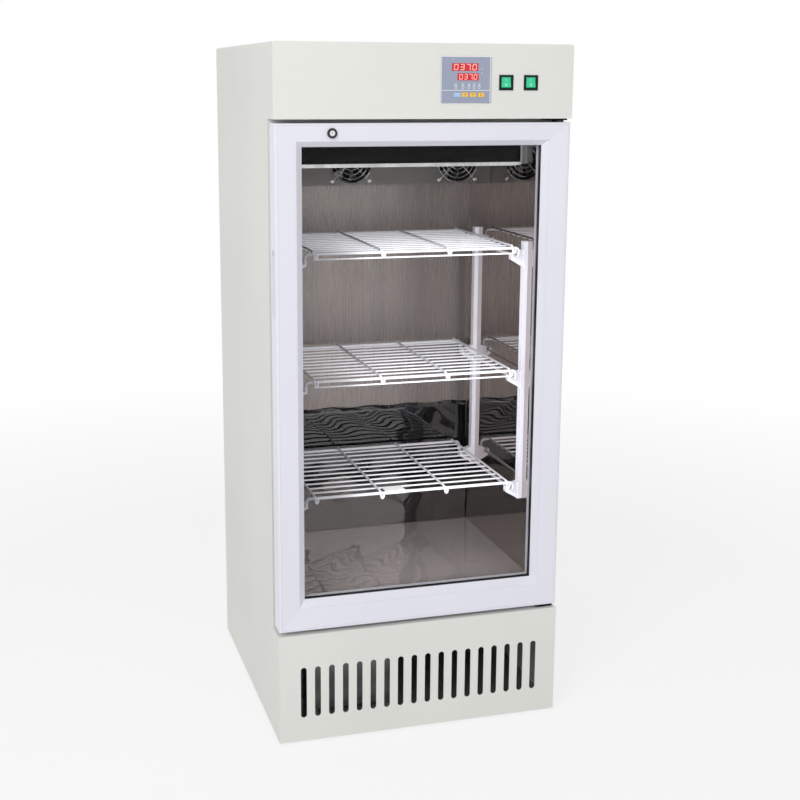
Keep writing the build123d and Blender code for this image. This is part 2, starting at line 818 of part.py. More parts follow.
def lamp():
    """Straight lamp between two holders that hang from the ceiling."""
    y, z, reach = shield_front + 19.0, chamber_top - 20.0, chamber_side - 45.0
    tube = bar_x(y, z, -reach, reach, 8.0)
    for x in (-reach, reach):
        tube += block(x - 6.0, x + 6.0, y - 11.0, y + 11.0, z - 11.0, chamber_top - fit)
    return tube


# Machines behind the grille
def compressor():
    """Domed pot on its foot plate."""
    x, y, z = side - 170.0, back - 188.0, pan_top
    top = foam_bottom - pan_top - 54.0
    half = [(0, 14), (62, 14), (70, 24), (72, 60), (74, 64), (74, 72), (70, 78), (66, top - 30), (52, top - 12),
            (28, top - 2), (0, top)]
    section = Plane((x, y, z), x_dir=(1, 0, 0), z_dir=(0, -1, 0)) * Polygon(*half, align=None)
    pot = revolve(section, Axis((x, y, z), (0, 0, 1)))
    pot += block(x - 100.0, x + 100.0, y - 60.0, y + 60.0, z + 12.0, z + 15.0)
    for dx in (-85.0, 85.0):
        for dy in (-45.0, 45.0):
            pot += straight_wire((x + dx, y + dy, z), (x + dx, y + dy, z + 13.0), 9.0)
    return pot


condenser_half = (foam_bottom - pan_top) / 2 - 22.0
condenser_x, condenser_y, condenser_z = -side + 170.0, front + 98.0, pan_top + 6.0 + condenser_half
condenser_depth = 45.0
condenser_bore = condenser_half - 12.0
motor_radius = 28.0
condenser_shaft = 3.0
wheel_y = condenser_y + condenser_depth + 12.0
wheel_length = 18.0


def condenser():
    """Finned block with a fan ring on its back and the motor on two arms."""
    x, y, z, h = condenser_x, condenser_y, condenser_z, condenser_half
    coil = block(x - h, x + h, y, y + condenser_depth, z - h, z + h)
    low_z = pan_top
    for foot in (x - h, x + h - 20.0):
        coil += block(foot, foot + 20.0, y, y + condenser_depth, low_z, z - h)
    ring_y = y + condenser_depth
    ring = block(x - h, x + h, ring_y, ring_y + 6.0, z - h, z + h) - bar_y(x, z, ring_y, ring_y + 6.0, condenser_bore)
    motor_y = wheel_y + wheel_length + 2.0
    motor = bar_y(x, z, motor_y, motor_y + 45.0, motor_radius)
    motor += bar_y(x, z, wheel_y + 3.0, motor_y, condenser_shaft)
    arm_back = motor_y + 12.0
    for hand in (-1, 1):
        xs = sorted((hand * (condenser_bore + 3.0), hand * (condenser_bore + 9.0)))
        motor += block(x + xs[0], x + xs[1], ring_y + 6.0, arm_back, z - 8.0, z + 8.0)
        xs = sorted((hand * (motor_radius - 4.0), hand * (condenser_bore + 9.0)))
        motor += block(x + xs[0], x + xs[1], arm_back - 4.0, arm_back, z - 8.0, z + 8.0)
    return [coil + ring + motor]


def condenser_wheel():
    return bladed_wheel(condenser_x, wheel_y, condenser_z, condenser_bore - 6.0, 20.0, wheel_length,
                        condenser_shaft + shaft_clearance, 5, 22.0, 35.0)


def build_cabinet():
    save("outer_shell", outer_shell())
    save("back_panel", back_panel())
    save("cord_gland", cord_gland())
    save("base_pan", base_pan())
    save("levelling_feet", *levelling_feet())
    save("insulation", *insulation())
    save("liner_sides", *liner_sides())
    save("liner_ceiling", liner_ceiling())
    save("liner_floor", liner_floor())
    save("liner_back", liner_back())
    save("lower_back_panel", lower_back_panel())
    save("front_frame", front_frame())
    save("grille_cover", grille_cover())


def build_controls():
    save("control_fascia", control_fascia())
    save("controller_case", controller_case())
    save("controller_face", controller_face())
    save("display_windows", *display_windows())
    for name in keys:
        save(name, controller_key(name))
    for name, x in (("power", power_switch_x), ("lamp", lamp_switch_x)):
        save("switch_housing_" + name, switch_housing(x))
        save("rocker_" + name, rocker(x))


def build_door():
    left = cut_hinge_holes(door_stile(-1)) - grip_block(0, grip_depth)
    save("door_stile_left", left)
    save("door_stile_right", cut_hinge_holes(door_stile(1)))
    top = cut_hinge_holes(door_rail(top_rail_width, door_top, -1))
    save("door_rail_top", top - bar_y(lock_x, lock_z, front, door_back, lock_hole))
    save("door_rail_bottom", cut_hinge_holes(door_rail(bottom_rail_width, door_bottom, 1)))
    save("glass_outer", glass_pane(outer_pane_y))
    save("glass_inner", glass_pane(inner_pane_y))
    save("glass_spacer", glass_spacer())
    save("door_gasket", door_gasket())
    save("door_grip", door_grip())
    save("lock_housing", lock_housing())
    save("lock_barrel", lock_barrel())
    save("hinge_bushes", hinge_bush(door_top, 1), hinge_bush(door_bottom, -1))
    save("hinge_bracket_top", hinge_bracket(door_top, 1))
    save("hinge_bracket_bottom", hinge_bracket(door_bottom, -1))


def build_chamber():
    for name, level in shelf_levels.items():
        save("shelf_" + name, wire_shelf(level, name != "bottom"))
    for name, hand in (("left", -1), ("right", 1)):
        save("posts_" + name, *[shelf_post(hand, place) for place in post_y])
    save("shelf_tag", shelf_tag())
    save("fan_box", fan_box())
    save("fan_motors", *fan_motors())
    for name, x in fan_places.items():
        save("fan_guard_" + name, fan_guard(x))
        save("fan_wheel_" + name, circulation_wheel(x))
    save("evaporator", evaporator())
    save("temperature_probe", temperature_probe())
    save("lamp_shield", lamp_shield())
    save("lamp_trim", *lamp_trim())
    save("lamp", lamp())


def build_machines():
    save("compressor", compressor())
    save("condenser", *condenser())
    save("condenser_wheel", condenser_wheel())


build_cabinet()
build_controls()
build_door()
build_chamber()
build_machines()
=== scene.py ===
# %% [markdown]
# # Looks of a biochemical incubator
#
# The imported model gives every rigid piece: the cabinet, the framed glass door, the chamber with
# its wire shelves, and the controls. This lesson gives each of them its finish, and makes the
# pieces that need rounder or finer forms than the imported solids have, such as round wires, seals
# and digits.
# Everything is in metres: X to the right, Y to the back, Z up, with the origin on the floor.

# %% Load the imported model
import bpy
import bmesh
import numpy as np
from mathutils import Matrix, Vector


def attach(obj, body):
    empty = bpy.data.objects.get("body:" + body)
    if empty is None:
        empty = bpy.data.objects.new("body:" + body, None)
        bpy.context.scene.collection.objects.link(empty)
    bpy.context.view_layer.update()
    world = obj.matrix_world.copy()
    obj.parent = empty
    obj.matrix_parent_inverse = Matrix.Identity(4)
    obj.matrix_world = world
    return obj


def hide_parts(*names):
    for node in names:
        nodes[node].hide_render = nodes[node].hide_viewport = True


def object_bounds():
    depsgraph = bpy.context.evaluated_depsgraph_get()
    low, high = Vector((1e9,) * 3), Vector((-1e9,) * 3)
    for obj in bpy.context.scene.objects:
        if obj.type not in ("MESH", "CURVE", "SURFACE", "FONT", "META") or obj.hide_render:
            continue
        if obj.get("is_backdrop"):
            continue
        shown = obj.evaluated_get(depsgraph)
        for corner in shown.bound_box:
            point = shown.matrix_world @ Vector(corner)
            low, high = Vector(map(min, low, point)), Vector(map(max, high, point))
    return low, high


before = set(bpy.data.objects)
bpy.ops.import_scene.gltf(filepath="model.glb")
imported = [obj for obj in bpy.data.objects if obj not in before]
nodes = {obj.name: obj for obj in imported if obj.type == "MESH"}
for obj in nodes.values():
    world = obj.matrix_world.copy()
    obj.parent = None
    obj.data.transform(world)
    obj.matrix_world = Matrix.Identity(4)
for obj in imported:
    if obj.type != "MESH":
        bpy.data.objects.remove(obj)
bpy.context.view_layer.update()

# %% [markdown]
# ## Camera
#
# The camera looks from where the photograph was taken. Its place, turn and lens come from a
# pinhole camera fitted to the corners of the cabinet. A small lens shift brings the cabinet to its
# place in the frame; a larger one would push the cabinet out of the frame in other views. Light
# that passes the two panes of the door twice crosses eight faces, so the limit of see-through
# faces is set well above that.

# %% Camera


def look_along(yaw, pitch, roll):
    """Camera axes: right, up and back, after a turn by yaw about Z, down by pitch, and by roll."""
    a, p, r = np.radians([yaw, pitch, roll])
    ahead = np.array([np.sin(a) * np.cos(p), np.cos(a) * np.cos(p), -np.sin(p)])
    level = np.array([np.cos(a), -np.sin(a), 0.0])
    upward = np.cross(level, ahead)
    right = np.cos(r) * level + np.sin(r) * upward
    up = np.cos(r) * upward - np.sin(r) * level
    return np.array([right, up, -ahead]).T


yaw, pitch, roll = 16.33, 11.7, 0.26
standpoint = (-0.790, -2.691, 1.281)
focal_pixels, frame_pixels, sensor_width = 1344.0, 800, 36.0
see_through_faces = 40

camera_data = bpy.data.cameras.new("camera")
camera = bpy.data.objects.new("camera", camera_data)
bpy.context.scene.collection.objects.link(camera)
turn = Matrix(look_along(yaw, pitch, roll).tolist()).to_4x4()
camera.matrix_world = Matrix.Translation(standpoint) @ turn
camera_data.sensor_width = sensor_width
camera_data.lens = focal_pixels / frame_pixels * sensor_width
camera_data.shift_x = 0.025
camera_data.shift_y = -0.05
bpy.context.scene.camera = camera
bpy.context.scene.view_settings.view_transform = "Standard"
bpy.context.scene.cycles.transparent_max_bounces = see_through_faces
print("lens", round(camera_data.lens, 1), "mm")

# %% [markdown]
# ## Writing materials as sums
#
# A material is a network of nodes. Instead of placing each node by hand, a small class wraps a
# socket, so that an expression such as `0.3 + 0.2 * streaks` adds the nodes that it needs. One
# method makes every other kind of node.

# %% Fields and looks


class Field:
    """A value on its way through a material's nodes. Arithmetic on it adds Math nodes."""

    def __init__(self, look, socket):
        self.look, self.socket = look, socket

    def math(self, operation, first, second):
        return self.look.node("ShaderNodeMath", {"operation": operation}, {0: first, 1: second})

    def __add__(self, other):
        return self.math("ADD", self, other)

    def __mul__(self, other):
        return self.math("MULTIPLY", self, other)

    __radd__, __rmul__ = __add__, __mul__


class Look:
    """A material with one Principled shader, whose fixed values are set on its own sockets."""

    def __init__(self, name, colour, **fixed):
        self.material = bpy.data.materials.new(name)
        self.material.use_nodes = True
        self.tree = self.material.node_tree
        self.shader = self.tree.nodes["Principled BSDF"]
        self.shader.inputs["Base Color"].default_value = colour
        for socket, value in fixed.items():
            self.shader.inputs[socket.replace("_", " ")].default_value = value

    def node(self, kind, settings=None, inputs=None, out=0):
        """Adds a node, sets it up, fills or links its sockets, and gives one output as a Field."""
        made = self.tree.nodes.new(kind)
        for key, value in (settings or {}).items():
            if key == "stops":
                for stop, (at, shade) in zip(made.color_ramp.elements, value):
                    stop.position, stop.color = at, (shade, shade, shade, 1)
            else:
                setattr(made, key, value)
        for key, value in (inputs or {}).items():
            if isinstance(value, Field):
                self.tree.links.new(value.socket, made.inputs[key])
            else:
                made.inputs[key].default_value = value
        return Field(self, made.outputs[out])

    def place(self, stretch=(1, 1, 1)):
        """Object coordinates, stretched along the axes."""
        at = self.node("ShaderNodeTexCoord", out="Object")
        return self.node("ShaderNodeMapping", None, {"Vector": at, "Scale": stretch})

    def noise(self, scale, stretch=(1, 1, 1), detail=3.0):
        """Noise from 0 to 1 whose grains are 1 / scale metres, drawn out along the axes."""
        inputs = {"Vector": self.place(stretch), "Scale": scale, "Detail": detail}
        return self.node("ShaderNodeTexNoise", None, inputs)

    def ramp(self, field, *stops):
        """Bends a field so that it goes from the first stop's shade to the second's."""
        return self.node("ShaderNodeValToRGB", {"stops": stops}, {"Fac": field})

    def blend(self, share, first, second):
        """Colour between two colours."""
        settings = {"data_type": "RGBA"}
        return self.node("ShaderNodeMix", settings, {0: share, 6: first, 7: second}, out=2)

    def feed(self, socket, field):
        self.tree.links.new(field.socket, self.shader.inputs[socket])
        return self

    def bump(self, height, strength, distance):
        inputs = {"Height": height, "Strength": strength, "Distance": distance}
        return self.feed("Normal", self.node("ShaderNodeBump", None, inputs))


def paint(red, green, blue, alpha=1.0):
    """Colour as it is read off a screen, from 0 to 255, as the linear values that Blender uses."""
    screen = np.array([red, green, blue]) / 255.0
    linear = np.where(screen <= 0.04045, screen / 12.92, ((screen + 0.055) / 1.055) ** 2.4)
    return (*map(float, linear), alpha)


def tinted(colour, factor):
    """The colour with each channel scaled, and none above full."""
    return (*(min(1, channel * factor) for channel in colour[:3]), 1)


print("white paint is", [round(v, 3) for v in paint(232, 233, 228)])

# %% [markdown]
# ## Coated sheet and moulded plastic
#
# The cabinet is steel sheet with a baked powder coat. Up close such a coat is not flat: it has a
# fine orange-peel skin, and its tone drifts a little over a wide panel. The skin could be modelled,
# but it is far finer than a mesh, so a bump does it. The door frame is moulded plastic, cooler in
# tone and smoother.

# %% Coats and plastics


def coat(name, colour, rough, peel=0.12, scale=420.0, drift=0.02, **fixed):
    """Painted or moulded skin: orange peel in the bump, faint drift in tone and roughness."""
    look = Look(name, colour, **fixed)
    darker, lighter = tinted(colour, 1 - 4 * drift), tinted(colour, 1 + 2 * drift)
    look.feed("Base Color", look.blend(look.noise(3.0, detail=2.0), darker, lighter))
    look.feed("Roughness", rough - 0.04 + 0.08 * look.noise(60.0))
    return look.bump(look.noise(scale, detail=2.0), peel, 0.0004)


white_coat = coat("powder coat", paint(226, 226, 221), 0.45)
pan_zinc = coat("zinc coat", paint(158, 160, 162), 0.45, 0.2, 60.0, 0.05, Metallic=0.7)
door_skin = coat("door plastic", paint(229, 229, 239), 0.32, 0.06, 260.0, 0.01, Coat_Weight=0.15)
inner_plastic = coat("frame plastic", paint(226, 226, 226), 0.45)
black_plastic = coat("black plastic", paint(22, 22, 23), 0.38, 0.3, 500.0, 0.05)
black_enamel = coat("black enamel", paint(12, 12, 12), 0.35, 0.1, 90.0, 0.05,
                    Specular_IOR_Level=0.12)
pot_enamel = coat("pot enamel", paint(14, 14, 15), 0.22, 0.1, 90.0, 0.05, Coat_Weight=0.4)
# The fan plate is the chamber's steel. Its dark grey is painted shade, standing in for the shadow
# and dark reflections it lies in.
painted_shade_plate = coat("fan plate with painted shade", paint(96, 94, 92), 0.30, 0.15, 300.0, 0.05, Metallic=0.6)
post_coat = coat("white post coat", paint(226, 225, 234), 0.40, 0.1, 300.0, 0.01)
wire_coat = coat("white wire coat", paint(206, 206, 212), 0.30, 0.15, 300.0, 0.02, Coat_Weight=0.2)
foam = coat("foam", paint(228, 214, 178), 0.9, 0.8, 700.0, 0.04)
rubber = coat("black rubber", paint(26, 26, 27), 0.7, 0.3, 600.0, 0.05)
seal_rubber = coat("seal", paint(206, 206, 212), 0.55, 0.1, 300.0)
print("coats:", len(bpy.data.materials))

# %% [markdown]
# ## Stainless sheet
#
# The chamber is lined with stainless sheet. Its back wall is brushed upright: fine streaks that
# catch the light as upright bands. The side walls, the floor and the cover over the lower back wall
# are polished, and mirror the shelves with a slight wobble, because thin sheet is never quite flat.

# %% Metals


def brushed(name, colour, grain, rough, depth=0.05, darkest=0.72, metal=1.0):
    """Sheet with long fine streaks. The grain is the stretch along each axis, small where the
    streaks run; broad bands of a darker tone lie over them."""
    look = Look(name, colour, Metallic=metal)
    streaks = look.noise(1.0, grain, 4.0)
    bands = look.noise(1.0, tuple(g * 0.04 for g in grain), 2.0)
    share = look.ramp(bands, (0.3, 0.0), (0.7, 1.0))
    look.feed("Base Color", look.blend(share, tinted(colour, darkest), colour))
    look.feed("Roughness", rough - 0.06 + 0.14 * streaks)
    return look.bump(streaks, depth, 0.0003)


def polished(name, colour, rough, wobble, size, metal=1.0):
    """Mirror sheet: a slow wobble in its normal and a faint haze."""
    look = Look(name, colour, Metallic=metal)
    look.feed("Roughness", rough + 0.05 * look.noise(30.0))
    return look.bump(look.noise(size, detail=1.0), wobble, 0.004)


wall_steel = brushed("brushed wall", paint(146, 138, 135), (420, 420, 3), 0.26,
                     darkest=0.84, metal=0.6)
side_steel = polished("side wall", paint(188, 180, 178), 0.0, 0.05, 12.0)
bright_steel = brushed("bright steel", paint(222, 222, 222), (1200, 40, 900), 0.18)
# The cover is polished steel, but its dark base tone is painted shade: it stands in for the dark
# room that the real sheet mirrors.
mirror_painted_dark = polished("polished cover with painted shade", paint(88, 87, 88), 0.0, 0.05, 20.0)
floor_steel = polished("polished floor", paint(234, 223, 219), 0.02, 0.04, 16.0, metal=0.7)
chrome = polished("chrome", paint(226, 226, 228), 0.06, 0.05, 200.0)
fins = brushed("fins", paint(168, 169, 172), (900, 60, 60), 0.35, 0.6)
print("metals:", [look.material.name for look in (wall_steel, mirror_painted_dark, chrome)])

# %% [markdown]
# ## Glass, windows and lit plastic
#
# A pane that bends light would keep the lamps out of the chamber, because light finds no way
# through two such panes. A clean pane seen at this distance is nearly invisible, so it is made
# almost fully see-through. Its body is a near-black green: a pale one would catch the lamps on all
# four faces and lay a grey veil over the chamber. The displays and rockers glow by themselves.

# %% Glass and lights
glass = Look("door glass", paint(18, 26, 23), Roughness=0.02, IOR=1.5)
glass.feed("Alpha", 0.015 + 0.01 * glass.noise(4.0))
opal = Look("opal lamp", paint(240, 240, 236), Roughness=0.3)
opal.bump(opal.noise(400.0), 0.02, 0.0002)


def film(name, colour, rough=0.3):
    """Printed film on a control panel, with a fine grain."""
    look = Look(name, colour)
    look.feed("Roughness", rough + 0.1 * look.noise(900.0))
    return look.bump(look.noise(1500.0), 0.05, 0.0001)


def lit(name, colour, glow, strength, rough=0.2):
    """Coloured window with a light behind it, a little uneven."""
    look = Look(name, colour, Roughness=rough, Emission_Strength=strength)
    return look.feed("Emission Color", look.blend(look.noise(260.0), tinted(glow, 0.7), glow))


panel_film = film("controller film", paint(150, 158, 178))
key_yellow = film("yellow key", paint(236, 196, 84), 0.4)
key_blue = film("pale blue key", paint(168, 196, 232), 0.4)
print_white = film("white print", paint(240, 242, 246), 0.4)
display_red = lit("display window", paint(150, 14, 20), paint(200, 24, 32), 0.6)
digit_glow = lit("digits", paint(250, 150, 146), paint(255, 170, 164), 0.75)
rocker_green = lit("lit rocker", paint(20, 150, 110), paint(30, 190, 130), 0.6)
rocker_mark = lit("rocker mark", paint(150, 230, 200), paint(150, 240, 210), 0.5)
switch_black = coat("switch housing", paint(4, 30, 24), 0.35, 0.1, 500.0,
                    Specular_IOR_Level=0.2)
print("materials:", len(bpy.data.materials))

# %% [markdown]
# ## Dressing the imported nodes
#
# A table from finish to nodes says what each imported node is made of, and the last line prints any
# node that it forgot.

# %% Finish of each node
finishes = [
    (white_coat, "outer_shell back_panel control_fascia grille_cover"),
    (pan_zinc, "base_pan"),
    (foam, "insulation"),
    (wall_steel, "liner_back liner_ceiling"),
    (side_steel, "liner_sides"),
    (floor_steel, "liner_floor"),
    (mirror_painted_dark, "lower_back_panel"),
    (post_coat, "posts_left posts_right"),
    (bright_steel, "lamp_trim temperature_probe"),
    (inner_plastic, "front_frame shelf_tag"),
    (door_skin, "door_stile_left door_stile_right door_rail_top door_rail_bottom door_grip"),
    (glass, "glass_outer glass_inner"),
    (seal_rubber, "door_gasket"),
    (black_plastic, "lock_housing hinge_bushes glass_spacer controller_case"),
    (black_plastic, "fan_motors fan_wheel_left fan_wheel_right condenser_wheel"),
    (chrome, "lock_barrel fan_guard_left fan_guard_right"),
    (black_enamel, "hinge_bracket_top hinge_bracket_bottom lamp_shield"),
    (pot_enamel, "compressor"),
    (wire_coat, "shelf_top shelf_middle shelf_bottom"),
    (painted_shade_plate, "fan_box"),
    (fins, "evaporator condenser"),
    (opal, "lamp"),
    (rubber, "levelling_feet cord_gland"),
    (panel_film, "controller_face"),
    (display_red, "display_windows"),
    (key_blue, "key_set"),
    (key_yellow, "key_shift key_down key_up"),
    (switch_black, "switch_housing_power switch_housing_lamp"),
    (rocker_green, "rocker_power rocker_lamp"),
]
dressed = set()
for look, names in finishes:
    for name in names.split():
        for place in nodes[name].material_slots:
            place.material = look.material
        dressed.add(name)
print("nodes left plain:", sorted(set(nodes) - dressed))

# %% [markdown]
# ## Surfaces from arrays
#
# A wire is a circle carried along a path. Where the path turns, it follows an arc, because a wire
# can't be bent to a sharp corner. Both steps are worked out for all points at once with numpy, and
# the result goes into a mesh in one call.

# %% Paths, tubes and meshes
mm = 0.001
weld_gap = 1e-6
sharp_angle = np.radians(40)
# A direction that no wire and no axis of this part follows, to turn their cross-sections from.
aslant = (0.31, 0.52, 0.79)


def unit(vectors):
    """Each vector divided by its own length."""
    return vectors / np.linalg.norm(vectors, axis=-1, keepdims=True)


def bent(corners, radius, closed=False, steps=7):
    """Path with each corner turned on an arc: the arc's centre lies on the line that halves the
    corner, radius / sin(half the angle) away, and the arc's points are turned evenly between the
    two places where it leaves the straight runs."""
    c = np.array(corners, float)
    if closed:
        before, here, after = np.roll(c, 1, 0), c, np.roll(c, -1, 0)
    else:
        before, here, after = c[:-2], c[1:-1], c[2:]
    u, v = unit(before - here), unit(after - here)
    angle = np.arccos(np.clip((u * v).sum(-1), -1, 1))[:, None]
    centre = here + unit(u + v) * radius / np.sin(angle / 2)
    a = here + u * radius / np.tan(angle / 2) - centre
    b = here + v * radius / np.tan(angle / 2) - centre
    t = np.linspace(0, 1, steps + 1)[None, :, None]
    sweep = (np.pi - angle)[:, :, None]
    arcs = (np.sin((1 - t) * sweep) * a[:, None] + np.sin(t * sweep) * b[:, None]) / np.sin(sweep)
    arcs = (arcs + centre[:, None]).reshape(-1, 3)
    return arcs if closed else np.vstack([c[:1], arcs, c[-1:]])


def tube(path, radius, sides=12, closed=False):
    """Circles of the radius square to a path: centre + radius * (n cos a + m sin a), where n and m
    are square to the path and to each other."""
    p = np.array(path, float)
    if closed:
        along = unit(np.roll(p, -1, 0) - np.roll(p, 1, 0))
    else:
        along = unit(np.vstack([p[1] - p[0], p[2:] - p[:-2], p[-1] - p[-2]]))
    n = unit(np.cross(along, aslant))
    m = np.cross(along, n)
    a = np.linspace(0, 2 * np.pi, sides, endpoint=False)[None, :, None]
    rings = p[:, None] + radius * (np.cos(a) * n[:, None] + np.sin(a) * m[:, None])
    return grid_faces(rings, closed, True, not closed)


def grid_faces(grid, wrap_rows, wrap_columns, capped=False):
    """Points of a grid and the quads between them. Wrapping joins the last row or column to the
    first, and caps close the first and the last row."""
    rows, columns = grid.shape[:2]
    index = np.arange(rows * columns).reshape(rows, columns)
    if wrap_rows:
        index = np.vstack([index, index[:1]])
    if wrap_columns:
        index = np.hstack([index, index[:, :1]])
    quads = np.stack([index[:-1, :-1], index[1:, :-1], index[1:, 1:], index[:-1, 1:]], -1)
    faces = quads.reshape(-1, 4).tolist()
    if capped:
        last = range((rows - 1) * columns, rows * columns)
        faces += [list(range(columns)), list(last)[::-1]]
    return grid.reshape(-1, 3), faces


def turned(profile, at, axis, sides):
    """A profile of (radius, height) points turned round an axis through a place. A radius of zero
    closes the end."""
    profile = np.array(profile, float)
    axis = unit(np.array(axis, float))
    n = unit(np.cross(axis, aslant))
    m = np.cross(axis, n)
    a = np.linspace(0, 2 * np.pi, sides, endpoint=False)[None, :, None]
    radius, height = profile[:, 0][:, None, None], profile[:, 1][:, None, None]
    rings = np.array(at, float) + height * axis + radius * (np.cos(a) * n + np.sin(a) * m)
    return grid_faces(rings, False, True)


def wire(points, radius, sides, closed=False):
    """Tube whose path and radius are given in millimetres."""
    return tube(np.array(points, float) * mm, radius * mm, sides, closed)


def piece(name, parts, look, body, smooth=True):
    """One mesh from several parts, with its faces turned outwards, riding on a body."""
    points, faces, start = [], [], 0
    for verts, quads in parts:
        points.append(verts)
        faces += [[i + start for i in quad] for quad in quads]
        start += len(verts)
    mesh = bpy.data.meshes.new(name)
    mesh.from_pydata(np.vstack(points).tolist(), [], faces)
    shell = bmesh.new()
    shell.from_mesh(mesh)
    bmesh.ops.remove_doubles(shell, verts=shell.verts, dist=weld_gap)
    bmesh.ops.dissolve_degenerate(shell, edges=shell.edges, dist=weld_gap)
    bmesh.ops.recalc_face_normals(shell, faces=shell.faces)
    shell.to_mesh(mesh)
    shell.free()
    mesh.materials.append(look.material)
    if smooth:
        mesh.shade_smooth()
        mesh.set_sharp_from_angle(angle=sharp_angle)
    made = bpy.data.objects.new(name, mesh)
    bpy.context.scene.collection.objects.link(made)
    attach(made, body)
    return made


def triangles_of(made):
    """Number of triangles in a piece."""
    return sum(len(face.vertices) - 2 for face in made.data.polygons)


elbow = tube(bent([(0, 0, 0), (1, 0, 0), (1, 1, 0)], 0.1), 0.01)
print("an elbow of wire has", len(elbow[0]), "points")

# %% [markdown]
# ## Wire shelves
#
# Each shelf is welded from three thicknesses of wire: a thick frame that runs round it, four cross
# rods from front to back, whose front ends are bent down into pointed hooks, and thin rods that the
# cross rods lie on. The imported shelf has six-sided wires, so a round one takes its place.

# %% Wire shelves
shelf_level = {"top": 958.0, "middle": 708.0016, "bottom": 472.0}
shelf_front, shelf_rear, shelf_left, shelf_right = -208.0, 128.0, -213.0, 225.0
frame_wire, cross_wire, thin_wire = 3.0, 2.2, 1.7
rail_drop, frame_bend = 18.0, 8.0
# Where two wires are welded, this share of their radii stays between their middles.
cross_weld, thin_weld = 0.97, 0.93
cross_margin, cross_rods, thin_rods = 16.0, 4, 10
# A cross rod runs past the frame at the rear and the front, then bends down to its tip and back up.
rear_past, front_past, hook_bend = 2.0, 3.2, 2.4
hook_tip, hook_end = (4.5, -6.0, -19.5), (8.0, -3.0, -1.0)
second_rod_ahead, second_rod_drop, second_rod_past = 4.5, 10.0, 4.0
rod_past = 0.5
cross_x = np.linspace(shelf_left + cross_margin, shelf_right - cross_margin, cross_rods)


def shelf_wires(level, second_rod):
    """Tubes of every wire of one shelf: the frame, which drops to a lower rail at each side, the
    hooked cross rods on it, and the thin rods under those."""
    low = level - rail_drop
    sides = ((shelf_right, shelf_front, shelf_rear), (shelf_left, shelf_rear, shelf_front))
    ring = [(x, y, z) for x, near, far in sides
            for y, z in ((near, level), (near, low), (far, low), (far, level))]
    wires = [wire(bent(ring, frame_bend, closed=True), frame_wire, 14, closed=True)]
    over = level + (frame_wire + cross_wire) * cross_weld
    under = over - (cross_wire + thin_wire) * thin_weld
    for x in cross_x:
        front_end = np.array((x, shelf_front, level))
        rod = [(x, shelf_rear + rear_past, over), (x, shelf_front - front_past, over),
               front_end + hook_tip, front_end + hook_end]
        wires.append(wire(bent(rod, hook_bend, steps=5), cross_wire, 12))
    shares = np.arange(1, thin_rods + 1) / (thin_rods + 1)
    for y in shelf_front + (shelf_rear - shelf_front) * shares:
        ends = [(cross_x[0] - rod_past, y, under), (cross_x[-1] + rod_past, y, under)]
        wires.append(wire(ends, thin_wire, 10))
    if second_rod:
        y, z = shelf_front - second_rod_ahead, level - second_rod_drop
        ends = [(cross_x[0], y, z), (cross_x[-1] + second_rod_past, y, z)]
        wires.append(wire(ends, thin_wire, 10))
    return wires


for name, level in shelf_level.items():
    shelf = piece("wire_shelf_" + name, shelf_wires(level, name != "bottom"), wire_coat, "cabinet")
    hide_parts("shelf_" + name)
    print(shelf.name, "triangles", triangles_of(shelf))

# %% [markdown]
# ## Polished cover on the lower back wall
#
# Thin polished sheet is never flat: it buckles between its fixings, so the shelves show in it as
# wavy lines. The cover is a closed slab, made by carrying its upright section along X. Two crossed
# waves push its face in and out by less than half a millimetre, and lift its folded edge a little.

# %% Wavy cover
cover_face, cover_floor, cover_fold, cover_top, cover_side = 148.0, 279.4, 555.0, 564.6, 250.0
fold_depth, sheet = 6.2, 0.6
wave_depth, wave_length, calm_height = 0.4, 118.0, 40.0
wave_height = 1.2 * wave_length
bend_turn, bend_height = 1.4, 173.0
edge_lift, edge_length, edge_start, edge_height = 1.6, 92.0, 500.0, 60.0
stations, levels, fold_levels = 161, 81, 5


def wavy_cover():
    """Face y = face + depth * (1 + calm * sin(2 pi x / length + bend(z)) * cos(2 pi z / height)),
    where calm goes from 0 at the floor to 1. The top is folded back, and its edge is lifted by
    lift * (sin(2 pi x / edge length) - 1)."""
    turn = 2 * np.pi
    x = np.linspace(-cover_side, cover_side, stations)[:, None]
    z = np.append(np.linspace(cover_floor, cover_fold, levels),
                  np.linspace(cover_fold, cover_top, fold_levels)[1:])[None, :]
    bend = bend_turn * np.sin(turn * z / bend_height)
    calm = np.clip((z - cover_floor) / calm_height, 0, 1)
    wave = calm * np.sin(turn * x / wave_length + bend) * np.cos(turn * z / wave_height)
    fold = fold_depth * np.clip((z - cover_fold) / (cover_top - cover_fold), 0, 1)
    rise = np.clip((z - edge_start) / edge_height, 0, 1)
    lift = edge_lift * (np.sin(turn * x / edge_length) - 1) * rise
    y = cover_face + wave_depth * (1 + wave) + fold
    front = np.stack(np.broadcast_arrays(x, y, z + lift), -1)
    section = np.concatenate([front, front[:, ::-1] + (0, sheet, 0)], 1)
    return grid_faces(section * mm, False, True, True)


cover = piece("wavy_cover", [wavy_cover()], mirror_painted_dark, "cabinet")
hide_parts("lower_back_panel")
print("cover triangles", triangles_of(cover))

# %% [markdown]
# ## Fan guards
#
# A finger guard is a set of wire rings welded on two crossed spokes, whose ends are bent into eyes
# for the screws. The rings are closed tubes, and each eye is a small ring round a pan-head screw.

# %% Fan guards
fan_place = {"left": (-58.0, 1118.0), "right": (176.0, 1118.0)}
plate_y, fan_size = 30.0, 92.0
guard_wire, guard_rings = 0.95, 5
# How far each stands in front of the fan plate.
ring_ahead, spoke_ahead, spoke_end_ahead, eye_ahead, head_ahead = 5.0, 3.4, 1.2, 1.1, 0.1
eye_reach = fan_size / 2 - 6.0
eye_radius, eye_wire, head_radius = 3.6, 1.0, 3.2
# Steps along a spoke: just past the middle, the start of its bend and its end at the eye.
spoke_steps = ((-3.0, spoke_ahead), (eye_reach - 6.0, spoke_ahead),
               (eye_reach - 2.4, spoke_end_ahead))


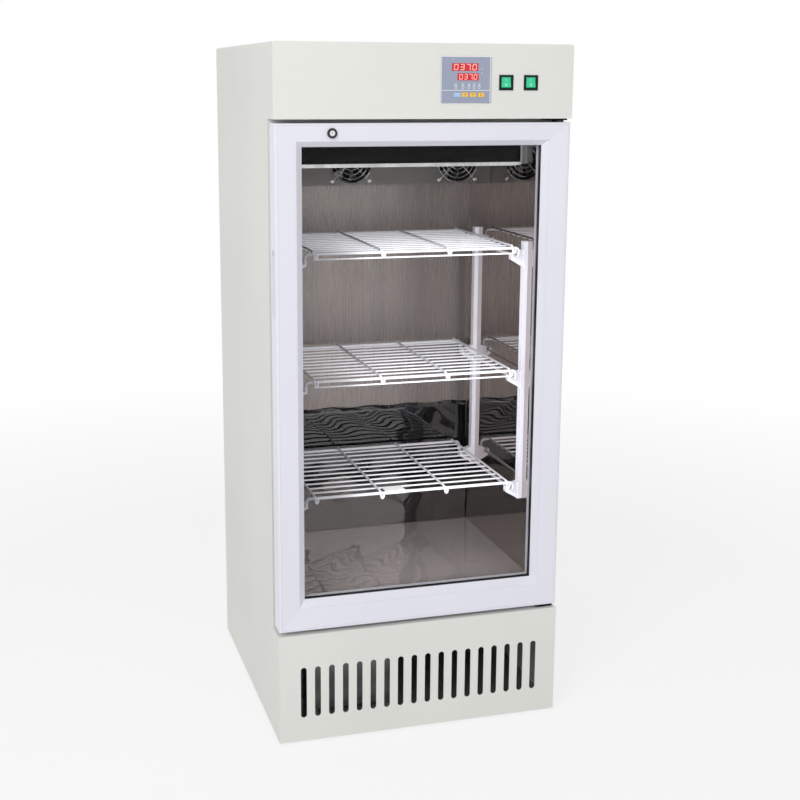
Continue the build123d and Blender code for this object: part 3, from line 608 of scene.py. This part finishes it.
def circle(x, y, z, radius, count=64):
    """Points round a circle that faces the front."""
    a = np.linspace(0, 2 * np.pi, count, endpoint=False)
    return np.stack([x + radius * np.cos(a), np.full(count, y), z + radius * np.sin(a)], -1)


def pan_head(x, y, z, radius, toward=(0, -1, 0)):
    """Low domed screw head, turned from a rim and a crown given as shares of its radius."""
    shares = [(0, 0), (1, 0), (1, 0.25), (0.8, 0.5), (0.4, 0.62), (0, 0.64)]
    return turned(np.array(shares) * radius * mm, np.array((x, y, z)) * mm, toward, 20)


for name, (x, z) in fan_place.items():
    radii = fan_size / 2 * np.arange(1, guard_rings + 1) / guard_rings - 0.9
    wires = [wire(circle(x, plate_y - ring_ahead, z, radius), guard_wire, 8, closed=True)
             for radius in radii]
    heads = []
    for dx, dz in ((1, 1), (1, -1), (-1, 1), (-1, -1)):
        spoke = [(x + run * dx, plate_y - ahead, z + run * dz) for run, ahead in spoke_steps]
        wires.append(wire(bent(spoke, 3.0, steps=4), guard_wire, 8))
        eye_x, eye_z = x + eye_reach * dx, z + eye_reach * dz
        eye = circle(eye_x, plate_y - eye_ahead, eye_z, eye_radius, 24)
        wires.append(wire(eye, eye_wire, 8, closed=True))
        heads.append(pan_head(eye_x, plate_y - head_ahead, eye_z, head_radius))
    guard = piece("wire_guard_" + name, wires, chrome, "cabinet")
    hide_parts("fan_guard_" + name)
    piece("guard_screws_" + name, heads, chrome, "cabinet")
    print(guard.name, "triangles", triangles_of(guard))

# %% [markdown]
# ## Door seal
#
# The seal is an extruded profile: a foot that clips into the door, a soft bellows, and a tube that
# holds a magnetic strip. The profile is carried round the door, mitred at the corners, so it is a
# grid of four corners by the profile's points.

# %% Door seal
seal_side, seal_low, seal_high, seal_back = 268.0, 254.0, 1179.0, -254.0
# Points of (inwards, towards the cabinet): the foot, the bellows up one side, the tube that holds
# the magnet, and the bellows down the other side.
seal_profile = [(1.0, 0.0), (13.0, 0.0), (13.0, 1.4), (10.6, 2.0), (12.6, 2.8), (10.8, 3.6),
                (13.6, 4.6), (14.0, 5.4), (14.0, 7.9), (13.2, 8.6), (0.8, 8.6), (0.0, 7.9),
                (0.0, 5.4), (0.4, 4.6), (3.2, 3.6), (1.4, 2.8), (3.4, 2.0), (1.0, 1.4)]


def carried_round(profile, x, low, high, back):
    """Profile of (inwards, depth) points carried round a rectangle from -x to x and low to high."""
    u, v = np.array(profile, float).T
    corners = [(-x, low, 1, 1), (x, low, -1, 1), (x, high, -1, -1), (-x, high, 1, -1)]
    rows = [np.stack([cx + sx * u, back + v, cz + sz * u], -1) for cx, cz, sx, sz in corners]
    return grid_faces(np.array(rows) * mm, True, True)


round_door = carried_round(seal_profile, seal_side, seal_low, seal_high, seal_back)
seal = piece("door_seal", [round_door], seal_rubber, "door", smooth=False)
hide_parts("door_gasket")
print("seal triangles", triangles_of(seal))

# %% [markdown]
# ## Digits and marks on the controller
#
# A seven-segment digit is seven slim hexagons, and a table of ones and zeros says which of them are
# lit. The marks beside the digits are thin printed lines, rings and dots.

# %% Controller marks
film_y = -299.6
digit_y, print_y = film_y + 0.15, film_y - 0.06
segments = [((0, 2), (1, 2)), ((1, 2), (1, 1)), ((1, 1), (1, 0)), ((0, 0), (1, 0)),
            ((0, 1), (0, 0)), ((0, 2), (0, 1)), ((0, 1), (1, 1))]
lit_bars = {"0": "1111110", "3": "1111001", "7": "1110000"}
lean, bar_share = 0.1, 0.11
# Each row of the display: its digits, the first one's x and z, their width, height and step.
display_rows = [("0370", 50.5, 1303.2, 7.0, 9.6, 12.0), ("0370", 61.0, 1286.2, 5.6, 8.6, 9.4)]
lamp_ring_x, ring_line = (54, 68, 80, 90, 100), 0.38
# Rings of (z, radius) at each of those places, dots of (x, z, radius), and lines as two corners.
lamp_rings = [(1276.4, 1.9), (1271.6, 2.3)]
printed_dots = [(49, 1322, 0.8), (105, 1305, 0.9), (105, 1297, 0.9)]
printed_lines = [(26, 1265.6, 122.5, 1266.5), (121.2, 1244, 122.4, 1326),
                 (25.4, 1241.4, 26.3, 1327.4), (25.4, 1326.6, 123.4, 1327.5)]


def flat(outline, y):
    """Flat shape of (x, z) points that faces the front."""
    x, z = np.array(outline, float).T
    return np.stack([x, np.full(len(x), y), z], -1) * mm, [list(range(len(x)))]


def dot(x, z, radius, y, count=20):
    """Flat disc that faces the front."""
    return flat(circle(x, y, z, radius, count)[:, ::2], y)


def segment(start, end, half):
    """Slim hexagon from one point to another, as one bar of a digit."""
    a, b = np.array(start, float), np.array(end, float)
    along = unit(b - a)
    across = np.array((-along[1], along[0])) * half
    near, far = a + along * half, b - along * half
    return [a, near + across, far + across, b, far - across, near - across]


def digit(shown, x, z, wide, high):
    """Lit bars of one digit, leaning a little to the right."""
    bars = []
    for ends, on in zip(segments, lit_bars[shown]):
        if on == "1":
            start, end = [(x + wide * i + lean * high * k / 2, z + high * k / 2) for i, k in ends]
            bars.append(flat(segment(start, end, wide * bar_share), digit_y))
    return bars


digits = []
for text, x0, z0, wide, high, step in display_rows:
    for i, shown in enumerate(text):
        digits += digit(shown, x0 + i * step, z0, wide, high)
    digits.append(dot(x0 + 2 * step + wide + 1.6, z0 + 0.2, 0.7, digit_y))
numbers = piece("display_digits", digits, digit_glow, "cabinet", smooth=False)

marks = [flat([(x0, z0), (x1, z0), (x1, z1), (x0, z1)], print_y)
         for x0, z0, x1, z1 in printed_lines]
marks += [dot(x, z, radius, print_y) for x, z, radius in printed_dots]
for x in lamp_ring_x:
    marks += [wire(circle(x, film_y, z, radius, 24), ring_line, 6, closed=True)
              for z, radius in lamp_rings]
panel_marks = piece("panel_marks", marks, print_white, "cabinet")
print("digit bars and dots", len(digits), "marks", len(marks))

# %% [markdown]
# ## Marks on keys and rockers
#
# The arrow keys carry small triangles, and each rocker has a bar and a ring for on and off. They
# ride on their own keys and rockers, so they move when those are pressed.

# %% Key and rocker marks
key_face, key_z = -299.9, 1258.0
mark_red = film("red print", paint(206, 92, 84), 0.4)
key_marks = {"key_shift": ("shift_key", 72.0, [(-2, 0), (1.6, 2), (1.6, -2)]),
             "key_down": ("down_key", 88.0, [(-2.2, 1.4), (2.2, 1.4), (0, -2)]),
             "key_up": ("up_key", 104.0, [(-2.2, -1.4), (0, 2), (2.2, -1.4)])}
for name, (body, x, triangle) in key_marks.items():
    shape = flat([(x + a, key_z + b) for a, b in triangle], key_face - 0.02)
    piece("mark_" + name, [shape], mark_red, body, smooth=False)

pivot_y, pivot_z, rocker_tilt = -292.0, 1280.3, np.radians(-6.0)
rocker_face, bar_wire, ring_wire = pivot_y - 6.55, 0.45, 0.4
rocker_x = {"power": 154.0, "lamp": 203.5}
bar_low, bar_high, ring_drop, ring_radius = 2.6, 6.8, 4.6, 2.0


def on_rocker(part):
    """Part turned about the rocker's pins, which lie along X, by its resting tilt."""
    points, faces = part
    pins = np.array((0, pivot_y, pivot_z)) * mm
    cos, sin = np.cos(rocker_tilt), np.sin(rocker_tilt)
    return (points - pins) @ np.array([[1, 0, 0], [0, cos, sin], [0, -sin, cos]]) + pins, faces


for name, x in rocker_x.items():
    bar = [(x, rocker_face, pivot_z + bar_low), (x, rocker_face, pivot_z + bar_high)]
    ring = circle(x, rocker_face, pivot_z - ring_drop, ring_radius, 28)
    parts = [on_rocker(wire(bar, bar_wire, 8)), on_rocker(wire(ring, ring_wire, 8, closed=True))]
    mark = piece("rocker_mark_" + name, parts, rocker_mark, name + "_rocker")
print("marks ride on", sorted(body for body, _, _ in key_marks.values()))

# %% [markdown]
# ## Screws on the back and brackets
#
# The back panel is held by pan-head screws round its edge, each a small turned dome. They stand
# where the panel lies on the shell's flange.

# %% Screws
back_face, back_head = 298.0, 3.1
side_places = [(x, z) for x in (-280, 280) for z in (24, 260, 500, 740, 980, 1220, 1330)]
edge_places = [(x, z) for x in (-140, 0, 140) for z in (24, 1340)]
heads = [pan_head(x, back_face, z, back_head, (0, 1, 0)) for x, z in side_places + edge_places]
piece("back_screws", heads, chrome, "cabinet")
print("screw heads", len(heads))

# %% [markdown]
# ## Stage and light
#
# A pale floor, a white surround and broad soft lamps. The surround shows white to the camera and in
# reflections and lights the part more gently, so the coat keeps its own tone. The floor is part
# lit by itself for the camera, and still takes the cabinet's soft shadow. A tall lamp just inside
# the door lights the chamber, hidden from the camera and from gloss.

# %% Stage and light
floor_reach, floor_tone = 14.0, (0.86, 0.86, 0.86, 1)
# Distance from the middle, in metres, and how far the floor shows white there.
shadow_near, shadow_far, near_white = 1.2, 3.0, 0.72
surround_light = 0.62


def stage_floor():
    """Pale floor, lit by itself for the camera and for gloss, the less the nearer the part."""
    mesh = bpy.data.meshes.new("floor")
    corners = [(-1, -1, 0), (1, -1, 0), (1, 1, 0), (-1, 1, 0)]
    mesh.from_pydata([Vector(c) * floor_reach for c in corners], [], [(0, 1, 2, 3)])
    floor = bpy.data.objects.new("floor", mesh)
    bpy.context.scene.collection.objects.link(floor)
    look = Look("floor", floor_tone, Roughness=0.9)
    path = look.node("ShaderNodeLightPath", out="Is Camera Ray")
    gloss = look.node("ShaderNodeLightPath", out="Is Glossy Ray")
    through = look.node("ShaderNodeLightPath", out="Is Transmission Ray")
    far = look.node("ShaderNodeVectorMath", {"operation": "LENGTH"}, {0: look.place()}, "Value")
    fade = look.node("ShaderNodeMapRange", None, {
        "Value": far, "From Min": shadow_near, "From Max": shadow_far,
        "To Min": near_white, "To Max": 1.0})
    clamped = {"operation": "ADD", "use_clamp": True}
    seen = look.node("ShaderNodeMath", clamped, {0: path + gloss, 1: through})
    glow = look.node("ShaderNodeEmission")
    mix = look.node("ShaderNodeMixShader", None, {0: seen * fade, 2: glow})
    look.tree.links.new(look.shader.outputs[0], mix.socket.node.inputs[1])
    look.tree.links.new(mix.socket, look.tree.nodes["Material Output"].inputs["Surface"])
    mesh.materials.append(look.material)
    floor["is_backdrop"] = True


def surround(strength):
    """White to the camera, to gloss and through glass; the given strength as light."""
    world = bpy.data.worlds.new("surround")
    bpy.context.scene.world = world
    world.use_nodes = True
    tree = world.node_tree
    tree.nodes.clear()
    made, link = tree.nodes.new, tree.links.new
    path, seen, also = made("ShaderNodeLightPath"), made("ShaderNodeMath"), made("ShaderNodeMath")
    seen.operation = also.operation = "MAXIMUM"
    link(path.outputs["Is Camera Ray"], seen.inputs[0])
    link(path.outputs["Is Glossy Ray"], seen.inputs[1])
    link(seen.outputs[0], also.inputs[0])
    link(path.outputs["Is Transmission Ray"], also.inputs[1])
    mix, out = made("ShaderNodeMixShader"), made("ShaderNodeOutputWorld")
    link(also.outputs[0], mix.inputs[0])
    for socket, level in ((1, strength), (2, 1.0)):
        light = made("ShaderNodeBackground")
        light.inputs["Color"].default_value = (1, 1, 1, 1)
        light.inputs["Strength"].default_value = level
        link(light.outputs[0], mix.inputs[socket])
    link(mix.outputs[0], out.inputs["Surface"])


def soft_lamp(name, at, toward, wide, high, watts):
    """Rectangular lamp at a place, turned to face another."""
    data = bpy.data.lights.new(name, "AREA")
    data.shape = "RECTANGLE"
    data.size, data.size_y, data.energy = wide, high, watts
    lamp = bpy.data.objects.new(name, data)
    lamp.location = at
    lamp.rotation_euler = (Vector(toward) - Vector(at)).to_track_quat("-Z", "Y").to_euler()
    bpy.context.scene.collection.objects.link(lamp)
    return lamp


stage_floor()
surround(surround_light)
soft_lamp("key", (-2.1, -2.7, 2.5), (0, 0, 0.9), 1.6, 1.6, 52)
soft_lamp("fill", (0.6, -3.4, 2.3), (0, 0, 1.0), 2.0, 2.0, 9)
inside = soft_lamp("chamber lamp", (0.06, -0.238, 0.72), (0.06, 0.2, 0.72), 0.34, 0.78, 1.8)
inside.visible_camera = inside.visible_glossy = False

# %% [markdown]
# ## Sizes and the end
#
# A dressed part must be as big as the imported model that it stands for. The box of all visible
# pieces is taken now, and its size is printed.

# %% Sizes and the end
low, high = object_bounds()
print("visual size", [round(v, 3) for v in high - low])
